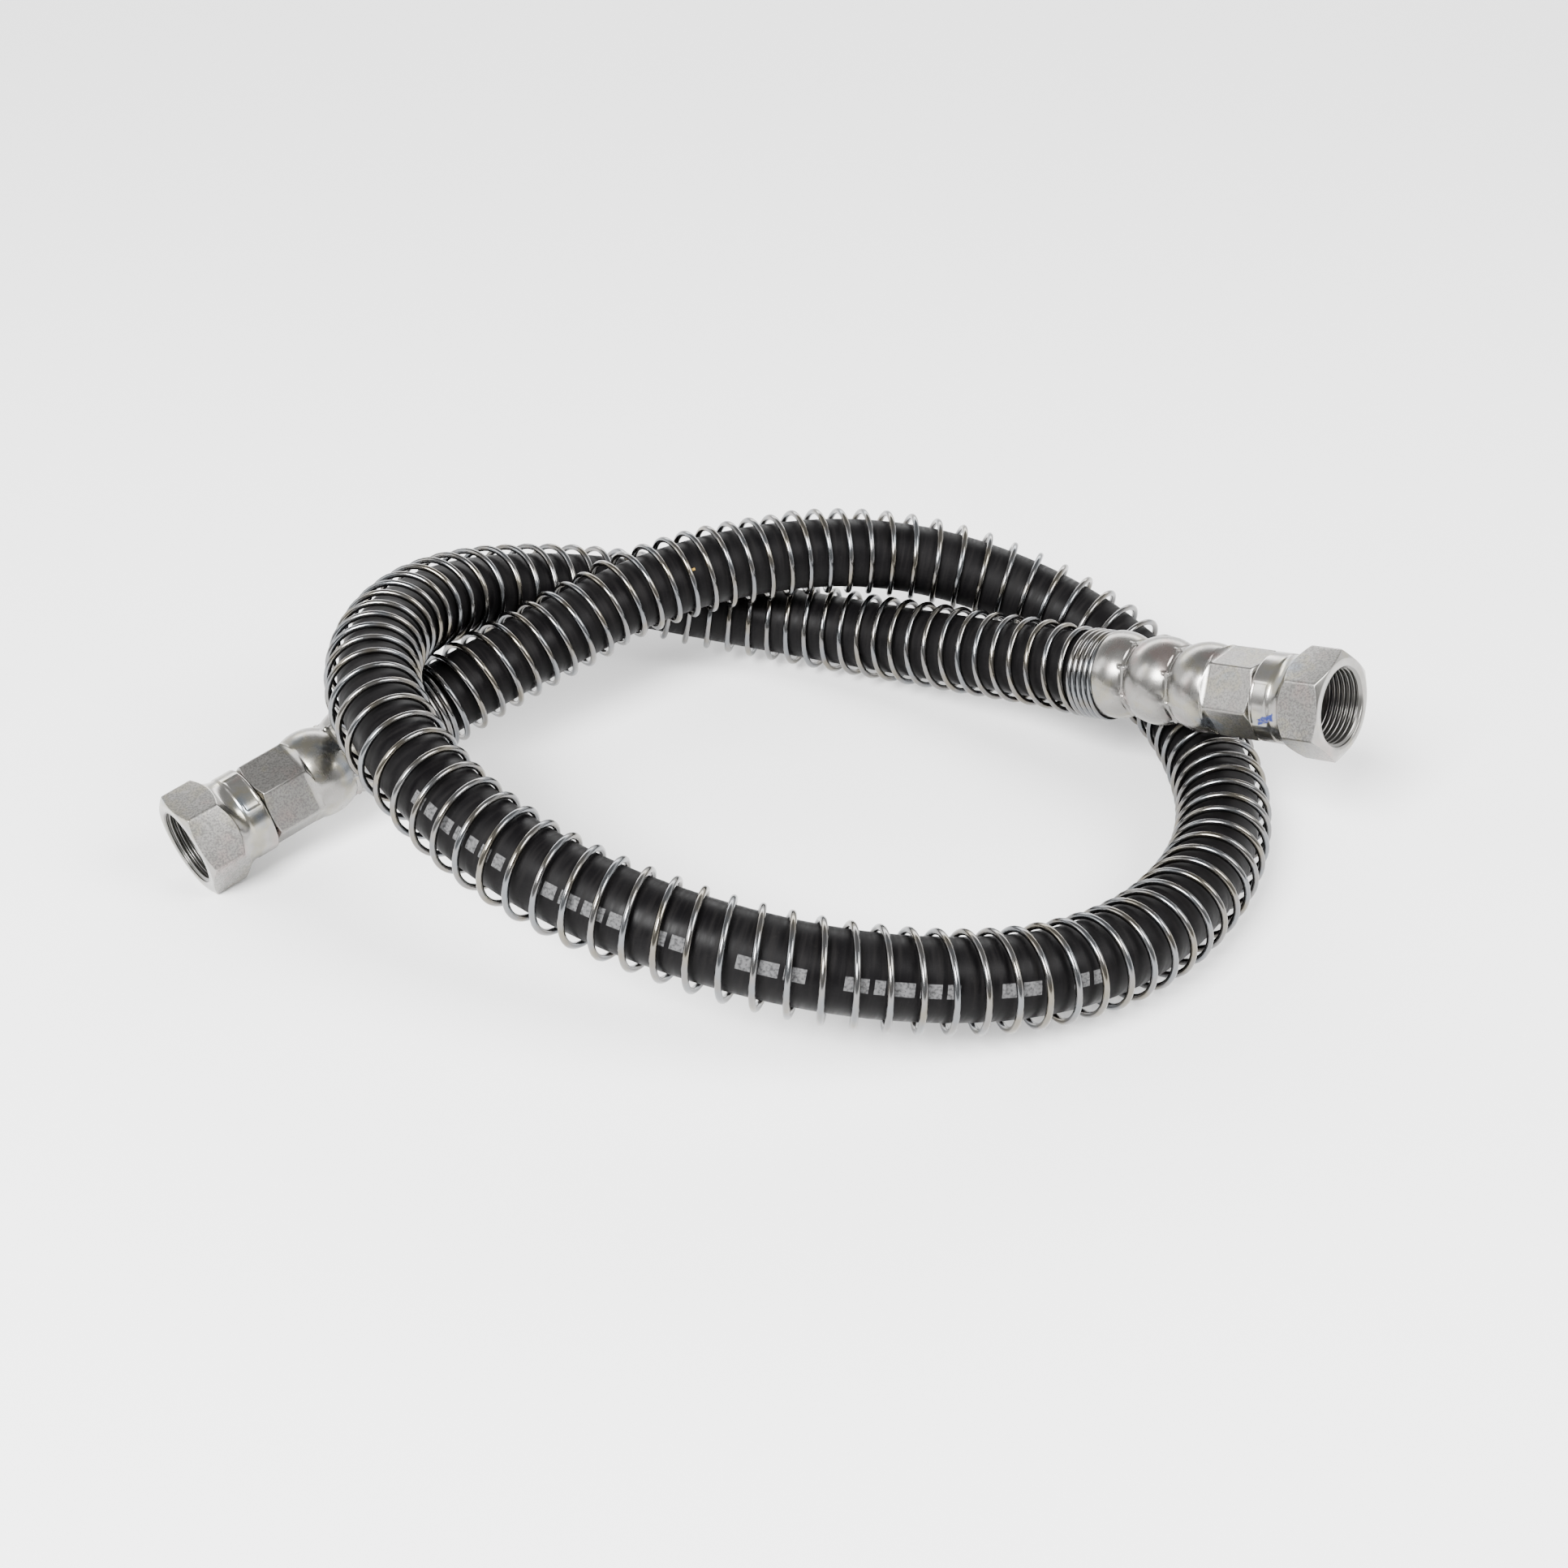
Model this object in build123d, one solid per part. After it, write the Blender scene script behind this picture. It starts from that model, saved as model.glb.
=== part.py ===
from build123d import *
from math import cos, pi, radians, sqrt, tan
import os

# Hydraulic hose assembly: a two-wire rubber hose inside a spring guard, with a crimped swivel-nut
# fitting at each end. It lies in one loop that passes over and under itself.
#
# Lengths are millimetres. The object's frame has +Z up and the floor at Z = 0.
# Each fitting is built in a frame of its own: the nut's mouth face is at height 0 and +Z runs along
# the fitting's axis towards the hose. Profiles are drawn in the XZ plane as (radius, height).

# ---- hose: lining, wire reinforcement, cover ----
hose_bore = 12.7
lining_wall = 1.45
reinforcement_wall = 1.5
cover_wall = 1.2

# ---- spring guard: one round wire wound over the hose, built as a sleeve of its outer size ----
guard_wire = 1.8
guard_play = 0.9

# ---- route of the hose's centreline, from the left socket's end to the right socket's end ----
route = [
    (-101.5, 18.0, 25.5),
    (-72.5, 42.5, 32.0),
    (-24.5, 77.0, 42.5),
    (38.5, 96.0, 41.0),
    (97.5, 81.5, 26.0),
    (131.0, 31.5, 13.5),
    (127.5, -35.0, 13.5),
    (84.5, -89.0, 17.0),
    (13.5, -103.0, 28.0),
    (-62.0, -74.5, 40.0),
    (-107.0, -17.5, 53.5),
    (-103.0, 46.0, 49.5),
    (-57.0, 91.5, 30.0),
    (4.0, 96.5, 13.5),
    (60.0, 68.0, 19.0),
    (103.0, 30.0, 33.5),
]
tangent_share = 0.45

# ---- swivel nut ----
nut_flats = 27.0
nut_length = 21.5
nut_hex_length = 12.0
nut_face_radius = 13.2
nut_front_chamfer = 1.1
nut_rear_chamfer = 2.0
nut_rear_radius = 13.3
nut_waist_radius = 12.2
nut_collar_radius = 12.45
nut_collar_length = 5.8
nut_collar_step = 0.3
nut_edge = 0.5
nut_field_depth = 0.2
nut_field_margin = 0.7
nut_field_arc = 55.0
thread_diameter = 22.0
thread_pitch = 1.5
thread_length = 10.0
countersink_diameter = 22.3
relief_depth = 0.4
nut_turns = {"left": -0.3, "right": 45.0}
field_turns = {"left": 86.0, "right": -13.0}

# ---- nipple: cone seat, shoulder under the nut's lip, waterway, barbed tail ----
head_start = 12.4
head_clearance = 0.29
head_length = 4.2
head_edge = 0.7
seat_rim = 0.8
seat_angle = 30.0
neck_diameter = 16.0
waterway_diameter = 9.8
lock_groove_depth = 0.8
lock_groove_start = 1.8
lock_groove_width = 2.4
tail_lead = 2.0
tail_end_wall = 0.6
barb_count = 6
barb_height = 0.35
barb_rise = 0.25
swivel_gap = 0.3

# ---- socket: hexagon nose, three balls, eight-sided die lands between them ----
nose_gap = 0.4
socket_flats = 22.0
nose_chamfer = 1.0
flat_length = 13.0
flat_runout = 2.2
flat_runout_angle = 24.0
ball_diameter = 25.5
ball_count = 3
first_ball = 19.6
ball_pitch = 14.8
end_trim = 1.5
die_count = 8
die_land_flats = 20.8
die_land_width = 1.6
die_groove = 0.3
socket_wall = 1.5
cavity_ramp = 3.6
hose_setback = 15.2
hex_turns = {"left": 12.7, "right": -0.7}
die_turns = {"left": 41.9, "right": 37.9}

# ---- how far a cutting shape stands out of what it cuts ----
over = 1.0

# ---- sizes that follow from those above ----
bore_radius = hose_bore / 2
lining_radius = bore_radius + lining_wall
reinforcement_radius = lining_radius + reinforcement_wall
hose_radius = reinforcement_radius + cover_wall
guard_inner_radius = hose_radius + guard_play
guard_outer_radius = guard_inner_radius + guard_wire

thread_minor_radius = (thread_diameter - 1.0825 * thread_pitch) / 2
neck_radius = neck_diameter / 2
lip_radius = neck_radius + swivel_gap
head_radius = thread_minor_radius - head_clearance
head_end = head_start + head_length
seat_radius = head_radius - head_edge - seat_rim
tail_radius = bore_radius
waterway_radius = waterway_diameter / 2

nose_start = nut_length + nose_gap
hose_start = nose_start + hose_setback
ball_radius = ball_diameter / 2
socket_corner_radius = socket_flats / 2 / cos(radians(30))
ball_centres = [nose_start + first_ball + k * ball_pitch for k in range(ball_count)]
valleys = [(a + b) / 2 for a, b in zip(ball_centres, ball_centres[1:])]
socket_end = ball_centres[-1] + end_trim
land_radius = die_land_flats / 2
crimped_radius = land_radius - socket_wall


def ring(outer, inner):
    """A solid of revolution about Z between two (radius, height) edges, both listed upwards."""
    corners = [(r, 0, z) for r, z in outer] + [(r, 0, z) for r, z in reversed(inner)]
    face = make_face(Polyline(*corners, close=True))
    return revolve(face, Axis.Z)


def disc(outline):
    """A solid of revolution about Z whose (radius, height) edge starts and ends on the axis."""
    on_axis = [(0, outline[0][1])] + outline + [(0, outline[-1][1])]
    face = make_face(Polyline(*[(r, 0, z) for r, z in on_axis], close=True))
    return revolve(face, Axis.Z)


def prism(flats, sides, start, end, turn):
    """A regular prism between two heights, given by its width across flats."""
    shape = RegularPolygon(flats / 2, sides, major_radius=False, rotation=turn)
    return Pos(0, 0, start) * extrude(shape, end - start)


def nut(side):
    """The swivel nut: hexagon, waist and rear collar outside; thread, bore and rolled lip inside."""
    corner = nut_flats / 2 / cos(radians(30))
    beyond = corner + over
    front = nut_front_chamfer * (beyond - nut_face_radius) / (corner - nut_face_radius)
    rear = nut_rear_chamfer * (beyond - nut_rear_radius) / (corner - nut_rear_radius)
    hexagon = prism(nut_flats, 6, 0, nut_hex_length, nut_turns[side])
    hexagon &= disc([(nut_face_radius, 0), (beyond, front), (beyond, nut_hex_length - rear),
                     (nut_rear_radius, nut_hex_length)])
    collar_start = nut_length - nut_collar_length
    waist_end = collar_start - nut_collar_step
    waist = TangentArc((nut_waist_radius, 0, waist_end), (nut_rear_radius, 0, nut_hex_length),
                       tangent=(0, 0, -1))
    collar = Polyline((nut_waist_radius, 0, waist_end),
                      (nut_collar_radius, 0, collar_start),
                      (nut_collar_radius, 0, nut_length - nut_edge),
                      (nut_collar_radius - nut_edge, 0, nut_length),
                      (0, 0, nut_length), (0, 0, nut_hex_length),
                      (nut_rear_radius, 0, nut_hex_length))
    body = hexagon + revolve(make_face(waist + collar), Axis.Z)
    return body - nut_bore() - stamp_field(side)


def nut_bore():
    """The space inside the nut: countersink, thread bore, shoulder that pulls on the nipple, lip."""
    mouth_radius = countersink_diameter / 2
    thread_start = mouth_radius - thread_minor_radius
    thread_end = thread_start + thread_length
    relief = thread_minor_radius + relief_depth
    shoulder_start = head_end + head_radius + swivel_gap * sqrt(2) - relief
    return disc([(mouth_radius, 0), (thread_minor_radius, thread_start),
                 (thread_minor_radius, thread_end), (relief, thread_end + relief_depth),
                 (relief, shoulder_start), (lip_radius, shoulder_start + relief - lip_radius),
                 (lip_radius, nut_length)])


def stamp_field(side):
    """The shallow plain field on the nut's collar."""
    start = nut_length - nut_collar_length + nut_field_margin
    end = nut_length - nut_field_margin
    floor = nut_collar_radius - nut_field_depth
    outside = nut_collar_radius + over
    edge = Polyline((floor, 0, start), (outside, 0, start), (outside, 0, end), (floor, 0, end),
                    close=True)
    return Rot(0, 0, field_turns[side]) * revolve(make_face(edge), Axis.Z, nut_field_arc)


def nipple():
    """The nipple: head with its cone seat, shoulder, neck, lock groove, barbed tail, waterway."""
    shoulder = head_radius - neck_radius
    groove_start = nose_start + lock_groove_start
    groove_radius = neck_radius - lock_groove_depth
    groove_end = groove_start + lock_groove_width
    edge = [(head_radius - head_edge, head_start), (head_radius, head_start + head_edge),
            (head_radius, head_end), (neck_radius, head_end + shoulder),
            (neck_radius, groove_start), (groove_radius, groove_start),
            (groove_radius, groove_end), (neck_radius, groove_end),
            (neck_radius, hose_start)]
    tail_end = socket_end - tail_lead
    barb = (tail_end - tail_lead - hose_start) / barb_count
    for k in range(barb_count):
        foot = hose_start + k * barb
        edge += [(tail_radius, foot), (tail_radius + barb_height, foot + barb_rise * barb)]
    edge += [(tail_radius, tail_end - tail_lead), (waterway_radius + tail_end_wall, tail_end)]
    seat_depth = (seat_radius - waterway_radius) / tan(radians(seat_angle))
    water = [(seat_radius, head_start), (waterway_radius, head_start + seat_depth),
             (waterway_radius, tail_end)]
    return ring(edge, water)


def cavity():
    """The socket's crimped inside as (radius, height): wide in each ball, narrow at each land."""
    stations = [(neck_radius, hose_start), (hose_radius, hose_start)]
    for valley in valleys:
        stations += [(hose_radius, valley - cavity_ramp - die_land_width / 2),
                     (crimped_radius, valley - die_land_width / 2),
                     (crimped_radius, valley + die_land_width / 2),
                     (hose_radius, valley + cavity_ramp + die_land_width / 2)]
    return stations + [(hose_radius, socket_end)]


def blank():
    """The socket before milling: a round nose and the ball bulbs, with a turned land in each valley."""
    reach = die_land_width / 2
    neck = nose_start + flat_length + flat_runout
    first_rise = sqrt(ball_radius**2 - (ball_centres[0] - neck)**2)
    corners = [(0, nose_start), (socket_flats / 2, nose_start),
               (socket_corner_radius, nose_start + nose_chamfer),
               (socket_corner_radius, neck - nose_chamfer), (first_rise, neck)]
    edge = Polyline(*[(r, 0, z) for r, z in corners])
    start = (first_rise, 0, neck)
    for centre, valley in zip(ball_centres, valleys):
        foot = sqrt(ball_radius**2 - (valley - reach - centre)**2)
        floor = land_radius - die_groove
        end = (foot, 0, valley + reach)
        edge += ThreePointArc(start, (ball_radius, 0, centre), (foot, 0, valley - reach))
        edge += Polyline((foot, 0, valley - reach), (floor, 0, valley - reach),
                         (floor, 0, valley + reach), end)
        start = end
    end = (sqrt(ball_radius**2 - end_trim**2), 0, socket_end)
    edge += ThreePointArc(start, (ball_radius, 0, ball_centres[-1]), end)
    edge += Polyline(end, (0, 0, socket_end), (0, 0, nose_start))
    return revolve(make_face(edge), Axis.Z)


def socket(side):
    """The crimped socket: the blank pressed by eight dies in each valley and milled to a hexagon nose."""
    body = blank()
    for valley in valleys:
        start = valley - die_land_width / 2
        body += prism(die_land_flats, die_count, start, start + die_land_width, die_turns[side])
    body &= milled_flats(side)
    groove_start = nose_start + lock_groove_start
    groove_end = groove_start + lock_groove_width
    groove_radius = neck_radius - lock_groove_depth
    lock = [(neck_radius, nose_start), (neck_radius, groove_start), (groove_radius, groove_start),
            (groove_radius, groove_end), (neck_radius, groove_end)]
    return body - disc(lock + cavity())


def milled_flats(side):
    """The space that the six-flat cutter leaves: a hexagon that opens at its run-out shoulders."""
    flats_end = nose_start + flat_length
    climb = (ball_radius + over - socket_flats / 2) / tan(radians(flat_runout_angle))
    opening_end = flats_end + climb
    foot = RegularPolygon(socket_flats / 2, 6, major_radius=False, rotation=hex_turns[side])
    top = RegularPolygon(ball_radius + over, 6, major_radius=False, rotation=hex_turns[side])
    straight = prism(socket_flats, 6, nose_start, flats_end, hex_turns[side])
    opening = loft([Pos(0, 0, flats_end) * foot, Pos(0, 0, opening_end) * top])
    rest = Pos(0, 0, opening_end) * extrude(Circle(ball_radius + over), socket_end - opening_end)
    return straight + opening + rest


def route_path():
    """The centreline: straight runs joined by tangent arcs, each as large as its runs allow."""
    points = [Vector(*point) for point in route]
    radii = []
    for before, corner, after in zip(points, points[1:], points[2:]):
        run = min((corner - before).length, (after - corner).length)
        turn = (corner - before).get_angle(after - corner)
        radii.append(tangent_share * run / tan(radians(turn / 2)))
    return FilletPolyline(*points, radius=radii), radii


def end_plane(end, behind):
    """A fitting's frame, whose axis carries the route's last run on in a straight line."""
    axis = (Vector(*behind) - Vector(*end)).normalized()
    return Plane(origin=Vector(*end) - axis * socket_end, x_dir=Vector(0, 0, 1).cross(axis), z_dir=axis)


def tube(path, outer, inner):
    """A round tube along the route."""
    start = Plane(origin=Vector(*route[0]), z_dir=Vector(*route[1]) - Vector(*route[0]))
    return sweep(start * (Circle(outer) - Circle(inner)), path=path).solid()


def squeezed(radius):
    """A hose layer's (radius, height) edge inside the socket, squeezed with the layers around it."""
    share = (radius - bore_radius) / (hose_radius - bore_radius)
    return [(bore_radius + share * (r - bore_radius), z) for r, z in cavity()[1:]]


def hose_layer(path, ends, outer, inner):
    """One layer of the hose: a tube along the route and a crimped length inside each socket."""
    layer = tube(path, outer, inner)
    crimped = ring(squeezed(outer), squeezed(inner))
    for plane in ends.values():
        layer += plane * crimped
    return layer.solid()


def save(solid, node):
    """Write one sub-part to its own STEP file."""
    export_step(solid, f"parts/{node}.step")


os.makedirs("parts", exist_ok=True)
path, radii = route_path()
ends = {"left": end_plane(route[0], route[1]), "right": end_plane(route[-1], route[-2])}

insert = nipple()
for side, plane in ends.items():
    save((plane * nut(side)).solid(), f"{side}_nut")
    save((plane * insert).solid(), f"{side}_nipple")
    save((plane * socket(side)).solid(), f"{side}_socket")

lining = hose_layer(path, ends, lining_radius, bore_radius)
for plane in ends.values():
    lining -= plane * insert
save(lining.solid(), "hose_lining")
save(hose_layer(path, ends, reinforcement_radius, lining_radius), "hose_reinforcement")
save(hose_layer(path, ends, hose_radius, reinforcement_radius), "hose_cover")

save(tube(path, guard_outer_radius, guard_inner_radius), "spring_guard")

cover = tube(path, hose_radius, reinforcement_radius)
section = pi * (hose_radius**2 - reinforcement_radius**2)
print("bend radii", [round(radius) for radius in radii])
print("hose between the sockets", round(path.length, 1))
print("cover volume over section times length", round(cover.volume / (section * path.length), 5))
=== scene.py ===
# %% [markdown]
# # A hydraulic hose in its spring guard
#
# The object is a rubber hose about a metre long. A steel fitting is crimped on each end, and one long
# wire spring covers the hose between them. It lies on a table in a loop that crosses itself.
#
# This lesson dresses the engineer's model of it. Every piece is worked out as a surface: a function of
# two numbers that gives a point in space. One number usually runs along the piece, the other round it.

import bpy
import numpy as np
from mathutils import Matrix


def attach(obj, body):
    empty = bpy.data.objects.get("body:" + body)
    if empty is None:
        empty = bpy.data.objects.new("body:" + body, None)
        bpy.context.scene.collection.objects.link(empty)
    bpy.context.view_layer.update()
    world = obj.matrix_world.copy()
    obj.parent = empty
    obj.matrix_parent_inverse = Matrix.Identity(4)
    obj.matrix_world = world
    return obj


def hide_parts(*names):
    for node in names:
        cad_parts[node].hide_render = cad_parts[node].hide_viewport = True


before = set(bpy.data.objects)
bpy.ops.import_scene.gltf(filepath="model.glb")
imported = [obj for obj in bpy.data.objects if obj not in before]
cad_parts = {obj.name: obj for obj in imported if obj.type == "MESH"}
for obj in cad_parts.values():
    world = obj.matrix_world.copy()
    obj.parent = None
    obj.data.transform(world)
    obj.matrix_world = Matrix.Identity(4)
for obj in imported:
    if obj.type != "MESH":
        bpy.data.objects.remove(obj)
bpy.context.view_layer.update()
MM = 0.001
print("nodes in the frame:", sorted(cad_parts))

# %% [markdown]
# ## The hose's line
#
# A hose has one length and lies where its stiffness and its weight let it. So its line comes first, and
# everything long follows it: the rubber, the spring, the printed line. The list is a given route. A NURBS
# curve of order 3 takes the points as its control points, which gives one smooth bend after another with
# no corner. `order_u` is set after the points are added, because a curve with one point can't have an
# order above 2.

# %% The route as one smooth curve
route = [
    (-101.5, 18.0, 25.5),
    (-72.5, 42.5, 32.0),
    (-24.5, 77.0, 42.5),
    (38.5, 96.0, 41.0),
    (97.5, 81.5, 26.0),
    (131.0, 31.5, 13.5),
    (127.5, -35.0, 13.5),
    (84.5, -89.0, 17.0),
    (13.5, -103.0, 28.0),
    (-62.0, -74.5, 40.0),
    (-107.0, -17.5, 53.5),
    (-103.0, 46.0, 49.5),
    (-57.0, 91.5, 30.0),
    (4.0, 96.5, 13.5),
    (60.0, 68.0, 19.0),
    (103.0, 30.0, 33.5),
]
route = np.array(route) * MM


def smooth_line(points, steps):
    """Control points in, points of the NURBS curve out, `steps` to each span, at one even spacing."""
    curve = bpy.data.curves.new("hose_line", "CURVE")
    curve.dimensions = "3D"
    curve.resolution_u = steps
    spline = curve.splines.new("NURBS")
    spline.points.add(len(points) - 1)
    spline.points.foreach_set("co", np.c_[points, np.ones(len(points))].ravel())
    spline.order_u = 3
    spline.use_endpoint_u = True
    carrier = bpy.data.objects.new("hose_line", curve)
    mesh = bpy.data.meshes.new_from_object(carrier)
    line = np.empty(len(mesh.vertices) * 3)
    mesh.vertices.foreach_get("co", line)
    bpy.data.objects.remove(carrier)
    bpy.data.meshes.remove(mesh)
    return line.reshape(-1, 3)


def measured(line):
    """The length walked along a line at each of its points: the running sum of its steps."""
    return np.r_[0, np.cumsum(np.linalg.norm(np.diff(line, axis=0), axis=1))]


line_steps = 64
raw_line = smooth_line(route, line_steps)
raw_length = measured(raw_line)
hose_length = raw_length[-1]
print("hose between the sockets:", round(hose_length, 4), "m")

# %% [markdown]
# ## Directions along the line
#
# A tube needs to know, at each point of its line, which way is along, which is up and which is sideways.
# The hose never stands upright, so "sideways" is the direction along crossed with the world's up, and
# the tube's own "up" is what is square to both. Nothing twists, so one angle round the tube means the
# same side of the hose all the way, which the printed line needs.

# %% A frame at any distance along the hose
along_smooth = np.gradient(raw_line, raw_length, axis=0)
bend_smooth = np.gradient(along_smooth, raw_length, axis=0)


def at(table, distance):
    """Reads a table that was sampled along the line at other distances, each column by itself."""
    return np.stack([np.interp(distance, raw_length, column) for column in table.T], axis=-1)


def unit(vectors):
    """Each vector over its own length."""
    return vectors / np.linalg.norm(vectors, axis=-1, keepdims=True)


def frame_at(distance):
    """Point, up and sideways of the hose's line at the distances asked for."""
    along = unit(at(along_smooth, distance))
    sideways = unit(np.cross(along, [0, 0, 1]))
    return at(raw_line, distance), np.cross(sideways, along), sideways


line_margin = 8
sharpest = np.linalg.norm(bend_smooth[line_margin:-line_margin], axis=1).max()
print("tightest bend of the line:", round(1 / sharpest, 4), "m")

# %% [markdown]
# ## Camera, floor and light
#
# The camera looks down at 34 degrees from 0.63 m away, which is close: the near side of the loop looks
# clearly bigger than the far side. The floor is plain white, and the light comes from large soft boxes.
# Polished metal shows what is round it, so the boxes are also the shapes that the fittings reflect.

# %% Camera
view_centre = np.array([6.7, 22.4, 0.0]) * MM
view_elevation = np.radians(34.1)
view_distance = 633 * MM
frame_pixels = 1932
focal_pixels = 2640
sensor = 36.0

camera_data = bpy.data.cameras.new("camera")
camera_data.sensor_width = sensor
camera_data.lens = focal_pixels / frame_pixels * sensor
camera = bpy.data.objects.new("camera", camera_data)
bpy.context.scene.collection.objects.link(camera)
camera.location = view_centre + view_distance * np.array(
    [0, -np.cos(view_elevation), np.sin(view_elevation)])
camera.rotation_euler = (np.pi / 2 - view_elevation, 0, 0)
bpy.context.scene.camera = camera
print("lens:", round(camera_data.lens, 2), "mm")


# %% Floor
def plain_material(name, colour, roughness):
    """A material with one colour and one roughness, for what isn't part of the object."""
    material = bpy.data.materials.new(name)
    material.use_nodes = True
    shader = material.node_tree.nodes["Principled BSDF"]
    shader.inputs["Base Color"].default_value = (*colour, 1)
    shader.inputs["Roughness"].default_value = roughness
    return material


floor_size = 6.0
floor_white, floor_rough = (0.95, 0.95, 0.95), 0.9
bpy.ops.mesh.primitive_plane_add(size=floor_size)
floor = bpy.context.object
floor.name = "floor"
floor.data.materials.append(plain_material("floor_white", floor_white, floor_rough))
print("floor:", floor_size, "m square")


# %% Soft boxes
def soft_box(name, place, aim, size, power):
    """A rectangular area light at `place` that faces `aim`, in metres and watts."""
    data = bpy.data.lights.new(name, "AREA")
    data.shape = "RECTANGLE"
    data.size, data.size_y = size
    data.energy = power
    light = bpy.data.objects.new(name, data)
    bpy.context.scene.collection.objects.link(light)
    light.location = place
    direction = np.array(aim) - np.array(place)
    flat = np.hypot(direction[0], direction[1])
    light.rotation_euler = (np.arctan2(flat, -direction[2]), 0,
                            np.arctan2(direction[1], direction[0]) - np.pi / 2)


light_aim = (0, 0, 0.03)
soft_box("back_box", (0.0, 1.6, 0.75), light_aim, size=(2.4, 0.4), power=26)
soft_box("left_box", (-1.3, -0.1, 0.8), light_aim, size=(0.5, 0.9), power=8)
soft_box("right_box", (1.0, -0.45, 1.05), light_aim, size=(0.7, 0.7), power=34)
soft_box("front_box", (-0.55, -1.0, 1.1), light_aim, size=(0.65, 0.55), power=82)


# %% A room that is bright behind, dark in front and dark above
room_behind, room_front = 2.2, 0.6
front_fade = (-0.55, 0.25)
wall_top, wall_blur = 0.5, 0.12
wall_fade = (wall_top - wall_blur, wall_top + wall_blur)


def room_light(room):
    """World light: front + (behind - front) * how far back * how low, for each direction seen."""
    room.use_nodes = True
    nodes, links = room.node_tree.nodes, room.node_tree.links
    direction = nodes.new("ShaderNodeTexCoord")
    split = nodes.new("ShaderNodeSeparateXYZ")
    links.new(direction.outputs["Generated"], split.inputs["Vector"])
    both = nodes.new("ShaderNodeMath")
    both.operation = "MULTIPLY_ADD"
    fades = [("Y", *front_fade, 0.0, 1.0), ("Z", *wall_fade, room_behind - room_front, 0.0)]
    for slot, (output, *limits) in enumerate(fades):
        fade = nodes.new("ShaderNodeMapRange")
        fade.interpolation_type = "SMOOTHSTEP"
        for name, value in zip(["From Min", "From Max", "To Min", "To Max"], limits):
            fade.inputs[name].default_value = value
        links.new(split.outputs[output], fade.inputs["Value"])
        links.new(fade.outputs["Result"], both.inputs[slot])
    both.inputs[2].default_value = room_front
    background = nodes["Background"]
    background.inputs["Color"].default_value = (1, 1, 1, 1)
    links.new(both.outputs[0], background.inputs["Strength"])


world = bpy.data.worlds.new("room")
bpy.context.scene.world = world
room_light(world)
print("room's light behind and in front:", room_behind, room_front)

# %% [markdown]
# ## Surfaces from grids
#
# A grid of points becomes a mesh when each four neighbours are joined by a face. If the grid's columns
# go round a tube, the last column joins the first. If its rows also close, as on a nut whose outside
# turns in at the mouth and comes back as its bore, the surface has no end at all. An open tube gets one
# face over each end, so that every piece is closed.


# %% A mesh from a grid
def ring_faces(rows, columns, close_rows):
    """Corner numbers of the faces between neighbouring rows, whose columns go all the way round."""
    row = np.arange(rows if close_rows else rows - 1)[:, None]
    column = np.arange(columns)[None, :]
    next_row = (row + 1) % rows
    next_column = (column + 1) % columns
    corners = [row * columns + column, row * columns + next_column,
               next_row * columns + next_column, next_row * columns + column]
    return np.stack(corners, axis=-1).reshape(-1, 4)


def surface(name, points, uv, close_rows=False, values=None):
    """A piece from a grid of points (rows, columns, 3) whose columns close.

    `uv` is two arrays of shape (rows + 1 or rows, columns + 1), in metres, that unroll the surface.
    `values` holds one number per point under a name, which a material can read.
    """
    rows, columns = points.shape[:2]
    faces = ring_faces(rows, columns, close_rows)
    totals = np.full(len(faces), 4)
    corners = faces.ravel()
    if not close_rows:
        corners = np.r_[corners, np.arange(columns)[::-1], (rows - 1) * columns + np.arange(columns)]
        totals = np.r_[totals, columns, columns]
    mesh = bpy.data.meshes.new(name)
    mesh.vertices.add(rows * columns)
    mesh.vertices.foreach_set("co", points.ravel())
    mesh.loops.add(len(corners))
    mesh.loops.foreach_set("vertex_index", corners)
    mesh.polygons.add(len(totals))
    mesh.polygons.foreach_set("loop_start", np.r_[0, np.cumsum(totals)[:-1]])
    mesh.polygons.foreach_set("use_smooth", totals == 4)
    layer = mesh.uv_layers.new(name="unrolled")
    row = np.arange(rows if close_rows else rows - 1)[:, None] + np.zeros((1, columns), int)
    column = np.arange(columns)[None, :] + np.zeros((len(row), 1), int)
    rounds = [(row, column), (row, column + 1), (row + 1, column + 1), (row + 1, column)]
    unrolled = np.stack([np.stack([uv[0][r, c], uv[1][r, c]], -1) for r, c in rounds], 2).reshape(-1, 2)
    spare = len(corners) - len(unrolled)
    layer.data.foreach_set("uv", np.r_[unrolled, np.zeros((spare, 2))].ravel())
    for value_name, numbers in (values or {}).items():
        attribute = mesh.attributes.new(value_name, "FLOAT", "POINT")
        attribute.data.foreach_set("value", np.broadcast_to(numbers, (rows, columns)).ravel())
    mesh.update(calc_edges=True)
    piece = bpy.data.objects.new(name, mesh)
    bpy.context.scene.collection.objects.link(piece)
    print(name, "faces:", len(totals))
    return piece


print("faces of a tube with 3 rows and 4 columns:", len(ring_faces(3, 4, close_rows=False)))

# %% [markdown]
# ## The rubber hose
#
# The cover is a round tube along the line. Rows lie across the hose every 2 mm and columns round it. Its
# unrolled coordinates are the distance along the hose and the distance round it, both in metres, so the
# printed line and the fine streaks of the rubber can be placed in real sizes.

# %% The hose's cover
cover_radius = 10.5 * MM
cover_rows = 480
cover_columns = 64


def round_angles(columns):
    """The angle of each column of a grid that goes once round: column * full turn / columns."""
    return np.arange(columns) * 2 * np.pi / columns


def round_lengths(columns, radius):
    """Distance round a circle at each column, with the seam once more as the last one."""
    return np.arange(columns + 1) * 2 * np.pi / columns * radius


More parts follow.
